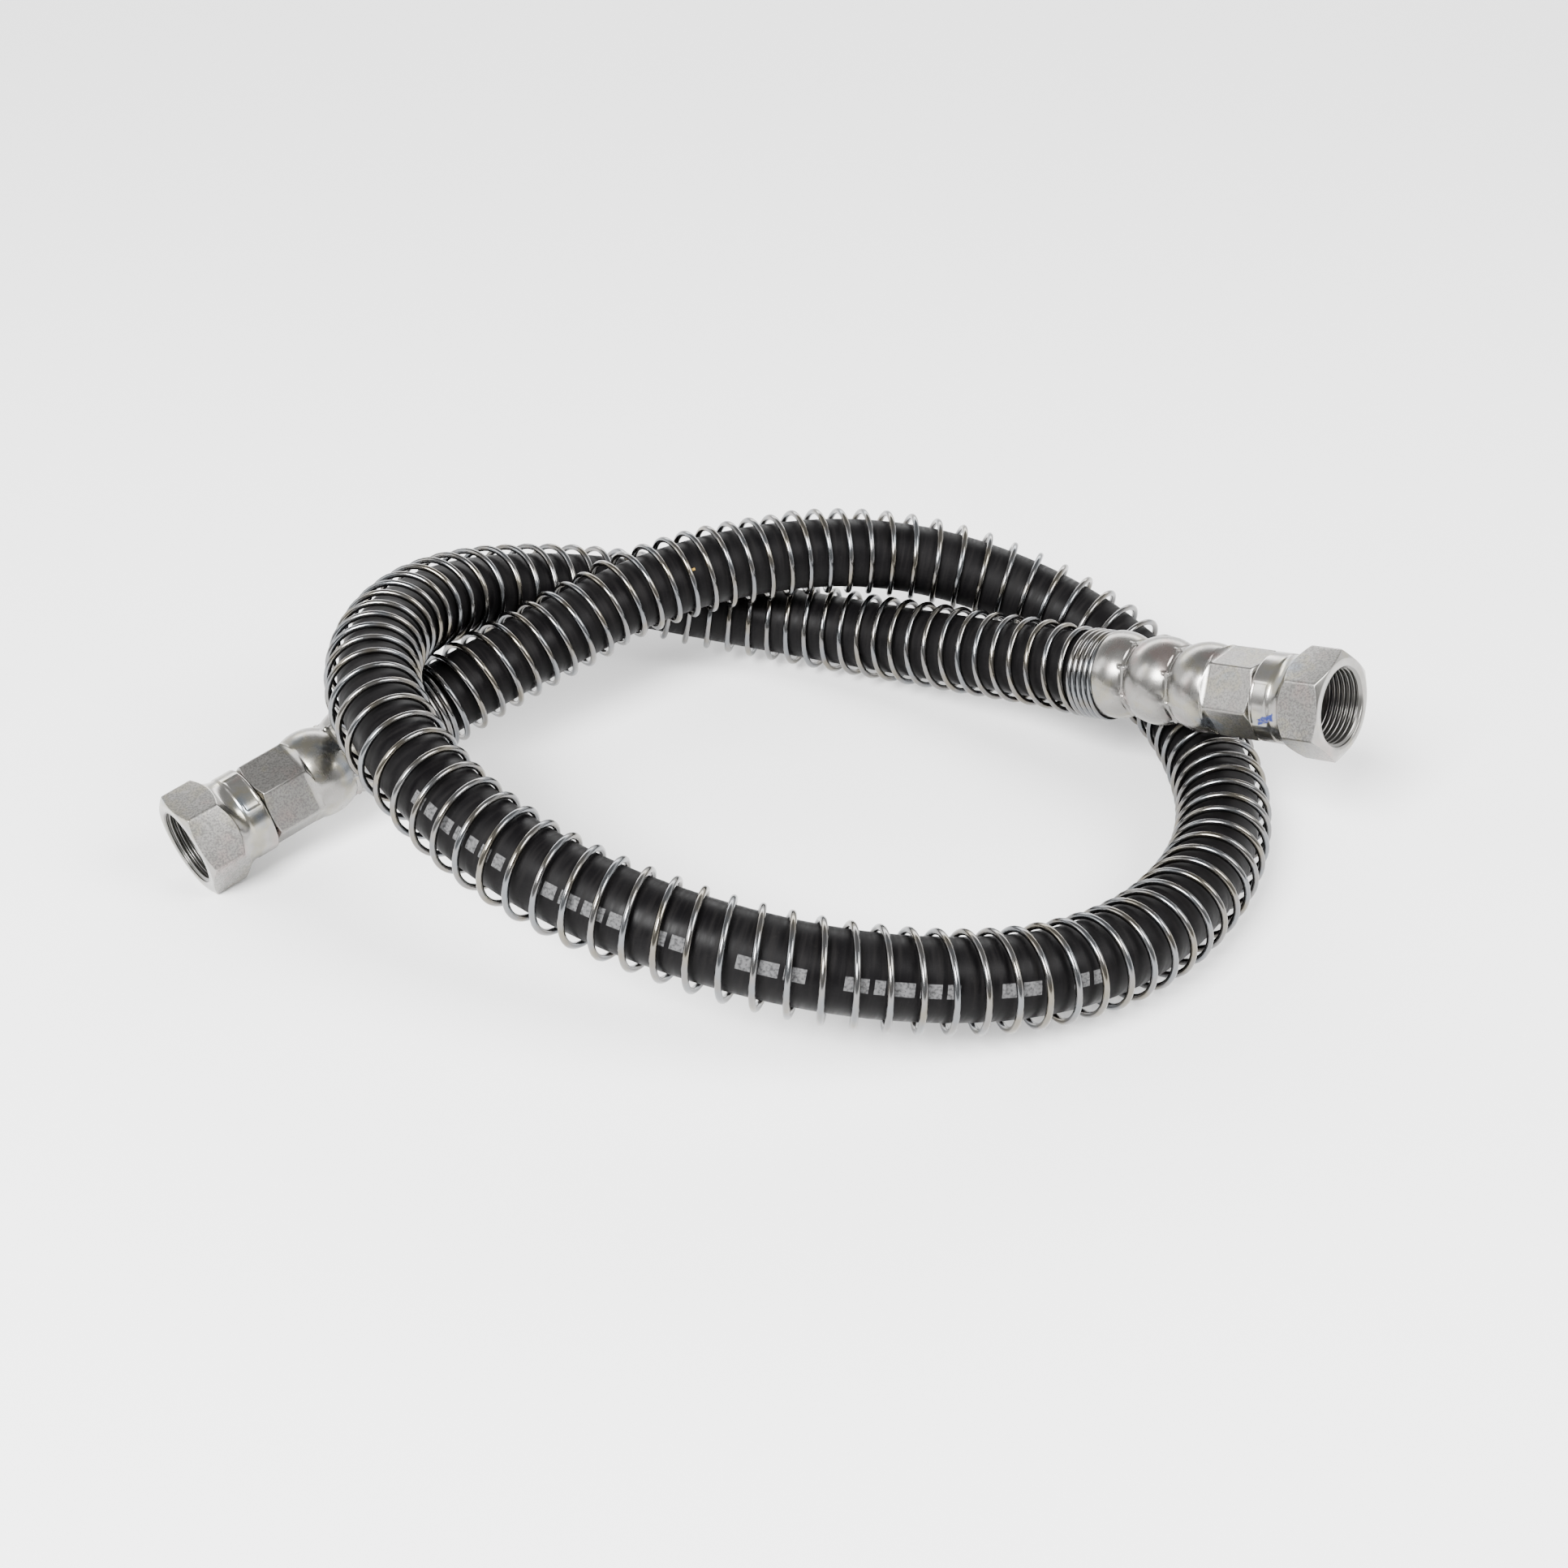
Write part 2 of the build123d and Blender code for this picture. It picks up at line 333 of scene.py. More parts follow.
def tube(name, distance, radius, columns):
    """A round tube: centre + radius * (cos(turn) * up + sin(turn) * sideways)."""
    turn = round_angles(columns)
    place, up, sideways = frame_at(distance)
    outward = np.cos(turn)[None, :, None] * up[:, None] + np.sin(turn)[None, :, None] * sideways[:, None]
    points = place[:, None] + radius * outward
    uv = np.broadcast_arrays(distance[:, None], round_lengths(columns, radius)[None, :])
    return surface(name, points, uv)


cover_distance = np.linspace(0, hose_length, cover_rows)
cover = tube("rubber_cover", cover_distance, cover_radius, cover_columns)
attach(cover, "hose_line")
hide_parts("hose_cover", "hose_lining", "hose_reinforcement")

# %% [markdown]
# ## The spring guard
#
# One wire is wound over the whole hose. Its coils touch at both ends, where it butts on the sockets, and
# stand open between, more on the outside of a bend than on the inside. The coil number is the running
# sum of 1 / pitch along the hose, and the wire's line is centre + radius * (cos * up + sin * sideways)
# of that many turns. The spring is looser than the hose is thick, so in a bend it shifts outward.

# %% The wire's line
wire_radius = 0.9 * MM
coil_radius = 12.3 * MM
closed_turns = 4.6
closed_pitch = 1.84 * MM
opening = 6 * MM
flat_part = 0.78
pitch_distance = np.array([0, 130, 200, 300, 400, 500, 580, 615, 655, 720, 870, 945]) * MM
pitch_open = np.array([6.5, 6.6, 8.0, 7.1, 6.9, 7.7, 7.5, 7.8, 6.2, 7.8, 6.4, 6.2]) * MM
first_turn = 0.87
turn_steps = 44
play = 0.85 * MM
slight_bend, sharp_bend = 4.5, 7.5
sag_end = 20 * MM
fine_steps = 8000
wire_columns = 12


def smooth_step(x):
    """0 below 0, 1 above 1, and an even rise between them: 3x^2 - 2x^3."""
    x = np.clip(x, 0, 1)
    return x * x * (3 - 2 * x)


def pitch_at(distance):
    """Coil pitch: the wire's own thickness over the closed ends, and the open pitch between them."""
    open_pitch = np.interp(distance, pitch_distance, pitch_open)
    from_end = np.minimum(distance, hose_length - distance) - closed_turns * closed_pitch
    return closed_pitch + (open_pitch - closed_pitch) * smooth_step(from_end / opening)


fine = np.linspace(wire_radius, hose_length - wire_radius, fine_steps)
coils = np.r_[0, np.cumsum(np.diff(fine) / pitch_at((fine[1:] + fine[:-1]) / 2))]
wire_turns = np.linspace(0, coils[-1], int(coils[-1] * turn_steps))
wire_distance = np.interp(wire_turns, coils, fine)


def pressed_flat(turns):
    """How much nearer its end a closed coil lies than an even winding: flat, then a step to the next."""
    part = turns % 1
    share = 1 - smooth_step(turns - closed_turns)
    return closed_pitch * share * (part - smooth_step((part - flat_part) / (1 - flat_part)))


wire_distance += pressed_flat(coils[-1] - wire_turns) - pressed_flat(wire_turns)


def coil_line(distance, turns, radius):
    """Points of the wire's centre: round the hose's line, plus a shift that the loose fit allows.

    In a bend the coils shift away from its centre. At the ends, where they are closed, they hang down.
    """
    place, up, sideways = frame_at(distance)
    bend = at(bend_smooth, distance)
    strength = np.linalg.norm(bend, axis=1, keepdims=True)
    from_end = np.minimum(distance, hose_length - distance)[:, None]
    free = smooth_step((from_end - closed_turns * closed_pitch) / sag_end)
    outward = smooth_step((strength - slight_bend) / (sharp_bend - slight_bend))
    shift = -play * free * outward * bend / np.maximum(strength, 1e-6) - play * (1 - free) * up
    angle = (turns[:, None] + first_turn) * 2 * np.pi
    return place + shift + radius * (np.cos(angle) * up + np.sin(angle) * sideways)


wire_line = coil_line(wire_distance, wire_turns, coil_radius)
print("coils in the guard:", round(coils[-1], 1), "wire length:", round(measured(wire_line)[-1], 2), "m")


# %% The wire itself
def wire(name, line, radius, columns):
    """A thin round wire: at each point of its line, a small circle square to the way it runs."""
    along = unit(np.gradient(line, axis=0))
    outward = unit(line - at(raw_line, wire_distance))
    outward = unit(outward - along * np.sum(outward * along, axis=1, keepdims=True))
    across = np.cross(along, outward)
    turn = round_angles(columns)
    ring = np.cos(turn)[None, :, None] * outward[:, None] + np.sin(turn)[None, :, None] * across[:, None]
    points = line[:, None] + radius * ring
    uv = np.broadcast_arrays(measured(line)[:, None], round_lengths(columns, radius)[None, :])
    return surface(name, points, uv)


guard = wire("spring_wire", wire_line, wire_radius, wire_columns)
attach(guard, "hose_line")
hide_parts("spring_guard")

# %% [markdown]
# ## The fittings
#
# Each fitting has a frame of its own: the nut's mouth is at height 0, and the axis runs towards the
# hose, straight on from the hose's last run. A turned piece is a profile in radius and height that goes
# round the axis. On the hexagons the radius also depends on the angle. A flat at distance a from the
# axis has the radius a / cos(angle from its middle), and a sharp corner between two flats is rounded by
# a small circle.

# %% Frames and grids for the fittings
socket_end = 72.6 * MM
side_ends = {"left": (route[0], route[1]), "right": (route[-1], route[-2])}
unroll_radius = 12 * MM
closing_run = 1 * MM
edge_share = 0.45


def fitting_frame(side):
    """Origin at the nut's mouth, then the x, y and z directions of a fitting."""
    end, behind = side_ends[side]
    axis = unit(behind - end)
    across = unit(np.cross([0, 0, 1], axis))
    return end - axis * socket_end, across, np.cross(axis, across), axis


def on_fitting(side, radius, angle, height):
    """Points at these radii, angles and heights of a fitting's own frame."""
    origin, across, over, axis = fitting_frame(side)
    return (origin + (radius * np.cos(angle))[..., None] * across
            + (radius * np.sin(angle))[..., None] * over + height[..., None] * axis)


def from_flat_middle(angle, sides, turn):
    """Angle from the middle of the nearest flat of a polygon that has a corner at `turn`."""
    step = 2 * np.pi / sides
    return (angle - turn) % step - step / 2


def hexagon_radius(angle, apothem, turn, corner):
    """Radius of a hexagon at an angle, with its corners rounded by circles of radius `corner`."""
    from_flat = from_flat_middle(angle, 6, turn)
    flat = apothem / np.cos(from_flat)
    centre = (apothem - corner) / np.cos(np.pi / 6)
    from_corner = np.pi / 6 - np.abs(from_flat)
    inside = np.maximum(corner**2 - (centre * np.sin(from_corner))**2, 0)
    rounded = centre * np.cos(from_corner) + np.sqrt(inside)
    tangent = np.arctan((apothem - corner) * np.tan(np.pi / 6) / apothem)
    return np.where(np.abs(from_flat) > tangent, rounded, flat)


def from_corner_to(corner, other, size):
    """The point `size` away from a corner towards its neighbour, or `edge_share` of the way to it."""
    way = other - corner
    length = np.linalg.norm(way, axis=-1)[:, None]
    return corner + np.minimum(size, edge_share * length) * way / np.maximum(length, 1e-9)


def rounded_profile(corners, rounding, steps):
    """Rounds each inner corner of a profile by a curve: (1 - t)^2 first + 2 t (1 - t) corner + t^2 last.

    `corners` has the shape (corners, columns, 2), and `rounding` holds a size in metres for each.
    """
    rows = [corners[0]]
    for before, corner, after, size in zip(corners, corners[1:], corners[2:], rounding[1:]):
        first, last = from_corner_to(corner, before, size), from_corner_to(corner, after, size)
        for t in np.linspace(0, 1, steps + 1):
            rows.append((1 - t)**2 * first + 2 * t * (1 - t) * corner + t**2 * last)
    rows.append(corners[-1])
    return np.array(rows)


def profile_run(radius, height):
    """The mean length walked along a piece's profile at each of its rows."""
    steps = np.hypot(np.diff(radius, axis=0), np.diff(height, axis=0)).mean(axis=1)
    return np.r_[0, np.cumsum(steps)]


def fitting_piece(name, side, radius, angle, height, values):
    """A closed piece of a fitting from its radii and heights (rows, columns)."""
    points = on_fitting(side, radius, np.broadcast_to(angle, radius.shape), height)
    run = profile_run(radius, height)
    run = np.r_[run, run[-1] + closing_run]
    around = round_lengths(radius.shape[1], unroll_radius)
    uv = np.broadcast_arrays(run[:, None], around[None, :])
    return surface(name, points, uv, close_rows=True, values=values)


print("left fitting's mouth:", np.round(fitting_frame("left")[0], 4))

# %% [markdown]
# ## The swivel nuts
#
# A nut's profile goes from the mouth's inner edge over the face, up the chamfer, along the hexagon, down
# its rear chamfer, through the waist to the collar, and back through the bore. The chamfers are cones,
# so on each column of the grid they meet the hexagon where the cone's radius equals the hexagon's. That
# draws the curved ends of the flats. The thread is a ridge whose height depends on height / pitch minus
# angle / full turn, which is what makes it a screw and not a row of rings.

# %% Nut sizes
nut_apothem = 13.5 * MM
nut_hex_end = 12.0 * MM
nut_face = 13.2 * MM
nut_corner = nut_apothem / np.cos(np.pi / 6)
rear_radius = 13.3 * MM
front_chamfer, rear_chamfer = 1.1 * MM, 2.0 * MM
front_slope = front_chamfer / (nut_corner - nut_face)
rear_slope = rear_chamfer / (nut_corner - rear_radius)
nut_corner_rounding = 0.5 * MM
nut_edge_roundings = np.array([0, 0.25, 0.3, 0.3, 0]) * MM
nut_edge_steps = 4
nut_turns = {"left": np.radians(-0.3), "right": np.radians(45)}
waist_radius = 12.2 * MM
waist_end = 15.4 * MM
waist_steps = 12
collar_radius = 12.45 * MM
collar_start = 15.7 * MM
collar_step, collar_chamfer = 0.02 * MM, 0.15 * MM
collar_rows = 22
nut_end = 21.5 * MM
nut_edge = 0.5 * MM
mouth_radius = 11.15 * MM
thread_minor = 10.188 * MM
thread_major = 11.0 * MM
thread_pitch = 1.5 * MM
thread_start, thread_end = 0.15 * MM, 10.96 * MM
thread_fade = 0.8 * thread_pitch
thread_rows = 150
relief_radius = 10.588 * MM
relief_step = 0.4 * MM
shoulder = 16.33 * MM
lip_radius = 8.3 * MM
lip_edge = 0.2 * MM
field_turns = {"left": np.radians(86), "right": np.radians(-13)}
field_arc = np.radians(55)
field_depth = 0.2 * MM
field_margin = 0.7 * MM
field_blur, field_side_blur = 0.15 * MM, 0.2 * MM
nut_columns = 216
print("nut across its flats:", round(2 * nut_apothem / MM, 1), "mm")


# %% The hexagon end and the waist
def hexagon_end(side, angle):
    """Rows from the mouth's edge over the face, the chamfer, the hexagon and the rear chamfer."""
    hexagon = hexagon_radius(angle, nut_apothem, nut_turns[side], nut_corner_rounding)
    front = (hexagon - nut_face) * front_slope
    rear = nut_hex_end - (hexagon - rear_radius) * rear_slope
    corners = [(mouth_radius, 0), (nut_face, 0), (hexagon, front), (hexagon, rear),
               (rear_radius, nut_hex_end)]
    one = np.ones_like(angle)
    corners = np.array([np.stack([radius * one, height * one], -1) for radius, height in corners])
    return rounded_profile(corners, nut_edge_roundings, nut_edge_steps)


def waist_rows(steps):
    """The hollow curve between the hexagon and the collar: an arc that starts along the collar."""
    drop, rise = rear_radius - waist_radius, waist_end - nut_hex_end
    bend = (drop**2 + rise**2) / (2 * drop)
    swing = np.linspace(np.arcsin(rise / bend), 0, steps)
    return np.stack([waist_radius + bend * (1 - np.cos(swing)), waist_end - bend * np.sin(swing)], -1)


def rings(outline, columns):
    """Rows of a grid from a profile that is the same at every angle."""
    return np.array(outline)[:, None] * np.ones(columns)[None, :, None]


print("waist's rows:", len(waist_rows(waist_steps)))

# %% The thread
flank_slope, root_width = 1.6, 0.3


def thread_radius(height, angle):
    """Radius of the nut's thread: crests at the bore's size and grooves that go out to the full size."""
    phase = (height / thread_pitch - angle / (2 * np.pi)) % 1
    ridge = np.clip(np.abs(phase - 0.5) * 2 * flank_slope - root_width, 0, 1)
    return thread_minor + (thread_major - thread_minor) * (1 - smooth_step(ridge))


def thread_grid(angle):
    """Rows of the thread, which fades into the relief behind it and which a cone cuts at the mouth."""
    heights = np.linspace(thread_end, thread_start, thread_rows)[:, None] * np.ones_like(angle)
    thread = np.maximum(thread_radius(heights, angle[None]), mouth_radius - heights)
    fade = smooth_step((thread_end - heights) / thread_fade)
    return np.stack([thread * fade + relief_radius * (1 - fade), heights], -1)


print("thread's turns:", round((thread_end - thread_start) / thread_pitch, 1))

# %% The whole profile, with its bare field
collar_heights = np.linspace(collar_start, nut_end - nut_edge, collar_rows)[1:]
collar_outline = [(collar_radius, height) for height in [collar_start + collar_step, *collar_heights]] + [
    (collar_radius - collar_chamfer, nut_end - collar_chamfer), (collar_radius - nut_edge, nut_end),
    (lip_radius + lip_edge, nut_end)]
bore_outline = [(lip_radius, nut_end - lip_edge), (lip_radius, shoulder + relief_radius - lip_radius),
                (relief_radius, shoulder), (relief_radius, thread_end + relief_step)]
outside_limit = relief_radius + 1 * MM
front_edge_middle = 1 + (nut_edge_steps + 1) + nut_edge_steps // 2
hexagon_rows = slice(front_edge_middle, front_edge_middle + nut_edge_steps + 1)


def field_share(side, angle, height):
    """How deep the bare field is at each point: 1 inside its four blurred edges and 0 outside them."""
    along = smooth_step((height - collar_start - field_margin) / field_blur)
    along = along * smooth_step((nut_end - field_margin - height) / field_blur)
    from_start = (angle - field_turns[side]) % (2 * np.pi)
    edge = field_side_blur / collar_radius
    return along * smooth_step(from_start / edge) * smooth_step((field_arc - from_start) / edge)


def nut_profile(side, angle):
    """Radii and heights of the whole nut (rows, columns), out of its mouth and back through its bore."""
    waist = rings(waist_rows(waist_steps)[1:], nut_columns)
    collar, bore = rings(collar_outline, nut_columns), rings(bore_outline, nut_columns)
    rows = np.concatenate([hexagon_end(side, angle), waist, collar, bore, thread_grid(angle)])
    radius, height = rows[..., 0].copy(), rows[..., 1]
    radius -= field_depth * field_share(side, angle, height) * (radius > outside_limit)
    milled, inside = np.zeros_like(radius), np.zeros_like(radius)
    milled[hexagon_rows] = 1
    inside[-(len(bore) + thread_rows):] = 1
    return radius, height, {"milled": milled, "inside": inside}


# %% Both nuts
def make_nut(side):
    """One nut, which turns on its nipple and so rides on its own body."""
    angle = round_angles(nut_columns)
    radius, height, values = nut_profile(side, angle)
    nut = fitting_piece(side + "_swivel_nut", side, radius, angle, height, values)
    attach(nut, side + "_nut_body")
    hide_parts(side + "_nut")
    return nut


nuts = {side: make_nut(side) for side in side_ends}

# %% [markdown]
# ## The crimped sockets
#
# A socket starts as a turned blank. Its nose is milled to a hexagon, and the cutter leaves the metal in
# a curve that gets steeper, which cuts a crescent into the round shoulder behind each flat. Then the
# press closes eight dies in each of two valleys, so that the metal between them stays as three balls.
# The whole outside is one height field: for each height and angle, the smaller of the blank's radius
# and the milled hexagon's, and in the valleys the radius of an eight-sided ring.

# %% Socket sizes
nose_start = 21.9 * MM
socket_apothem = 11.0 * MM
socket_corner = socket_apothem / np.cos(np.pi / 6)
flats_end = 34.9 * MM
neck = 37.1 * MM
nose_chamfer = 1.0 * MM
nose_corner_rounding = 0.3 * MM
mill_blend, mill_fade, runout_fade = 0.25 * MM, 0.2 * MM, 0.3 * MM
runout_slope = 0.05
runout_curve = 3.2 * MM
ball_radius = 12.75 * MM
ball_centres = np.array([41.5, 56.3, 71.1]) * MM
valleys = np.array([48.9, 63.7]) * MM
land_apothem = 10.4 * MM
land_half_width = 0.6 * MM
land_blend = 0.5 * MM
die_count = 8
ridge_width, ridge_length, ridge_height = 0.38 * MM, 1.5 * MM, 0.45 * MM
hex_turns = {"left": np.radians(12.7), "right": np.radians(-0.7)}
die_turns = {"left": np.radians(41.9), "right": np.radians(37.9)}
hose_opening = 10.55 * MM
hose_opening_end = 66 * MM
nose_bore = 8.05 * MM
end_gap = 0.1 * MM
rim_edge, nose_edge = 0.2 * MM, 0.15 * MM
socket_columns = 216
socket_rows = 300
print("socket's length:", round((socket_end - nose_start) / MM, 1), "mm")


# %% Sockets
def softer_min(a, b, reach):
    """The smaller of two numbers, with a round change-over of about `reach` between them."""
    share = np.clip(0.5 + 0.5 * (b - a) / reach, 0, 1)
    return b + (a - b) * share - reach * share * (1 - share)


def blank_radius(height):
    """The turned blank: chamfered nose, round neck, then one ball after another."""
    balls = [np.sqrt(np.maximum(ball_radius**2 - (height - c)**2, 0)) for c in ball_centres]
    ball = np.maximum.reduce(balls)
    nose = np.minimum(socket_corner, socket_apothem + (height - nose_start) * (
        (socket_corner - socket_apothem) / nose_chamfer))
    neck_radius = np.sqrt(ball_radius**2 - (ball_centres[0] - neck)**2)
    shoulder_radius = socket_corner + (neck_radius - socket_corner) * np.clip(
        (height - neck + nose_chamfer) / nose_chamfer, 0, 1)
    return np.where(height < neck, np.minimum(nose, shoulder_radius), ball)


def socket_radius(side, height, angle):
    """Radius of the finished socket at each height and angle, and how far it was milled there.

    Behind the flats the milled radius grows by slope * run + run^2 / (2 * curve).
    """
    milled = hexagon_radius(angle, socket_apothem, hex_turns[side], nose_corner_rounding)
    run = np.maximum(height - flats_end, 0)
    milled = milled + run * (runout_slope + run / (2 * runout_curve))
    blank = blank_radius(height)
    radius = softer_min(blank, milled, mill_blend)
    from_land = from_flat_middle(angle, die_count, die_turns[side])
    land = land_apothem / np.cos(from_land)
    distance = np.min(np.abs(height[..., None] - valleys), axis=-1)
    inside = 1 - smooth_step((distance - land_half_width) / land_blend + 0.5)
    radius = radius * (1 - inside) + land * inside
    from_corner = (np.pi / die_count - np.abs(from_land)) * land_apothem
    ridge = np.exp(-(from_corner / ridge_width)**2 - (distance / ridge_length)**4)
    cut = smooth_step((blank - milled) / mill_fade)
    return radius + ridge_height * ridge, cut * (1 - smooth_step((height - flats_end) / runout_fade))


def make_socket(side):
    """One socket: its outside as a height field, and a plain bore that closes it."""
    angle = round_angles(socket_columns)
    height = np.linspace(nose_start + end_gap, socket_end - end_gap, socket_rows)
    height, angles = np.broadcast_arrays(height[:, None], angle[None, :])
    outside, milled = socket_radius(side, height, angles)
    one = np.ones_like(angle)
    bore = [(outside[-1] - rim_edge, socket_end), (hose_opening, socket_end),
            (hose_opening, hose_opening_end), (nose_bore, neck), (nose_bore, nose_start),
            (outside[0] - nose_edge, nose_start)]
    radius = np.vstack([outside] + [r * one for r, _ in bore])
    height = np.vstack([height] + [h * one for _, h in bore])
    flat = np.vstack([milled] + [0 * one for _ in bore])
    socket = fitting_piece(side + "_crimped_socket", side, radius, angle, height, {"milled": flat})
    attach(socket, "hose_line")
    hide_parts(side + "_socket")
    return socket


sockets = {side: make_socket(side) for side in side_ends}

# %% [markdown]
# ## The nipples
#
# Inside each nut sits the nipple's head, with a cone that the mating pipe seals against, and the oil's
# way through its middle. Only this front part can be seen, through the thread. It is turned, so a short
# list of corners that goes round the axis gives all of it.

# %% Nipples
nipple_outline = np.array([
    (8.4, 12.4), (9.2, 12.4), (9.75, 12.75), (9.9, 13.2), (9.9, 16.6), (8.0, 18.5), (8.0, 36.0),
    (4.9, 36.0), (4.9, 18.46),
]) * MM
nipple_edge, nipple_edge_steps = 0.2 * MM, 3
nipple_columns = 96


def make_nipple(side):
    """One nipple head with its cone seat, as a turned ring whose edges are slightly rounded."""
    angle = round_angles(nipple_columns)
    corners = rings(nipple_outline, nipple_columns)
    rows = rounded_profile(corners, [nipple_edge] * len(corners), nipple_edge_steps)
    nipple = fitting_piece(side + "_nipple_head", side, rows[..., 0], angle, rows[..., 1],
                           {"milled": np.zeros(rows.shape[:2])})
    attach(nipple, "hose_line")
    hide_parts(side + "_nipple")
    return nipple


nipples = {side: make_nipple(side) for side in side_ends}

# %% [markdown]
# ## Materials
#
# Each material is a small network. Noise in metres of the object gives grain and stains at their real
# size. The unrolled coordinates give what runs along or round a piece: turning lines, drawn wire, the
# printed line on the rubber.


# %% Small helpers for shader networks
class Network:
    """A material's nodes, each added with its inputs already joined."""

    def __init__(self, name):
        self.material = bpy.data.materials.new(name)
        self.material.use_nodes = True
        self.tree = self.material.node_tree
        self.shader = self.tree.nodes["Principled BSDF"]

    def add(self, kind, inputs=(), **settings):
        """A node of this kind. An input is either a plain value or another node's output."""
        node = self.tree.nodes.new("ShaderNode" + kind)
        for setting, value in settings.items():
            setattr(node, setting, value)
        self.join(node, inputs)
        return node

    def join(self, node, inputs):
        """Gives a node its inputs by name or by number."""
        for socket, value in dict(inputs).items():
            if isinstance(value, bpy.types.NodeSocket):
                self.tree.links.new(value, node.inputs[socket])
            else:
                node.inputs[socket].default_value = value

    def math(self, operation, a, b=0.0, c=0.0, clamp=False):
        """One arithmetic step on up to three numbers."""
        return self.add("Math", {0: a, 1: b, 2: c}, operation=operation, use_clamp=clamp).outputs[0]

    def noise(self, coordinates, scale, detail, stretch=(1, 1, 1)):
        """Noise with `scale` lumps to a metre, squeezed along the axes by `stretch`."""
        squeezed = self.add("Mapping", {"Vector": coordinates, "Scale": stretch})
        return self.add("TexNoise", {"Vector": squeezed.outputs[0], "Scale": scale,
                                     "Detail": detail}).outputs["Fac"]

    def between(self, value, low, high, out_low=0.0, out_high=1.0):
        """Maps low..high to out_low..out_high and holds the ends."""
        return self.add("MapRange", {"Value": value, "From Min": low, "From Max": high,
                                     "To Min": out_low, "To Max": out_high}).outputs["Result"]

    def ramp(self, value, stops, constant=False):
        """Colours along a value."""
        node = self.add("ValToRGB", {"Fac": value})
        node.color_ramp.interpolation = "CONSTANT" if constant else "LINEAR"
        elements = node.color_ramp.elements
        while len(elements) < len(stops):
            elements.new(1.0)
        for element, (position, colour) in zip(elements, stops):
            element.position = position
            element.color = (*colour, 1)
        return node.outputs["Color"]

    def mix(self, share, a, b):
        """Blends colour a into colour b."""
        node = self.add("Mix", data_type="RGBA")
        self.join(node, {0: share, 6: a, 7: b})
        return node.outputs[2]

    def bump(self, height, distance, strength, onto=None):
        """Turns heights into a bent normal."""
        inputs = {"Height": height, "Distance": distance, "Strength": strength}
        if onto is not None:
            inputs["Normal"] = onto
        return self.add("Bump", inputs).outputs["Normal"]


# %% [markdown]
# ## Zinc plate
#
# The fittings are steel under a thin, clear coat of zinc: bright, with faint warm and cool stains, fine
# lines where a tool turned the metal, and a duller, speckled skin on the milled flats. The nut's bore gets
# a darker grey, which is painted shade. One network makes them all, because each piece stores on its
# points what was milled and what lies inside. A painted image could show the same, but each piece would
# need one of its own.

# %% Zinc colours and grain
zinc_hues = [(0.30, (0.32, 0.265, 0.25)), (0.42, (0.285, 0.277, 0.262)), (0.50, (0.31, 0.302, 0.288)),
             (0.58, (0.305, 0.288, 0.235)), (0.70, (0.245, 0.265, 0.29))]
speck_grey, speck_share = (0.12, 0.118, 0.114, 1), 0.75
patch_grey, patch_share = (0.16, 0.157, 0.152, 1), 0.25
# The bore's darker grey is painted shade.
bore_shade_grey, bore_shade_share = (0.14, 0.137, 0.13, 1), 0.95
paint_blue = (0.004, 0.014, 0.12, 1)
stain_lumps, patch_lumps, ding_lumps, grain_lumps, fine_lumps = 95, 260, 330, 1900, 6500
turning_lines = (5200, 40, 1)
line_depth = 0.2
grain_bump, ding_bump = (0.02 * MM, 0.8), (-0.06 * MM, 0.5)
gloss_reach = 0.07
satin_rough, bore_rough, paint_rough = (0.32, 0.46), 0.3, 0.6
zinc_metal = 0.97
print("zinc hues:", len(zinc_hues))

# %% A dab of paint
dab_wide_edge, dab_long_edge = (0.9 * MM, 1.1 * MM), (2.4 * MM, 2.8 * MM)
dab_ragged, dab_lean, dab_least = 1.6 * MM, 0.42, 0.7
half_round = float(np.pi * unroll_radius)


def dab_mask(net, unrolled, along, around):
    """Paint where |across + lean * run| and |run| are small, counted from the dab's middle, ragged."""
    split = net.add("SeparateXYZ", {"Vector": unrolled})
    ragged = net.math("SUBTRACT", net.noise(unrolled, 900, 3), 0.5)
    ragged = net.math("MULTIPLY", ragged, dab_ragged)
    across = net.math("SUBTRACT", split.outputs["Y"], around)
    across = net.math("WRAP", across, half_round, -half_round)
    run = net.math("SUBTRACT", split.outputs["X"], along)
    lean = net.math("ADD", net.math("ADD", across, ragged), net.math("MULTIPLY", run, dab_lean))
    wide = net.between(net.math("ABSOLUTE", lean), *dab_wide_edge, 1, 0)
    long = net.between(net.math("ABSOLUTE", net.math("ADD", run, ragged)), *dab_long_edge, 1, 0)
    worn = net.between(net.noise(unrolled, 1500, 2), 0.36, 0.46)
    worn = net.math("MAXIMUM", worn, dab_least)
    return net.math("MULTIPLY", net.math("MULTIPLY", wide, long), worn)


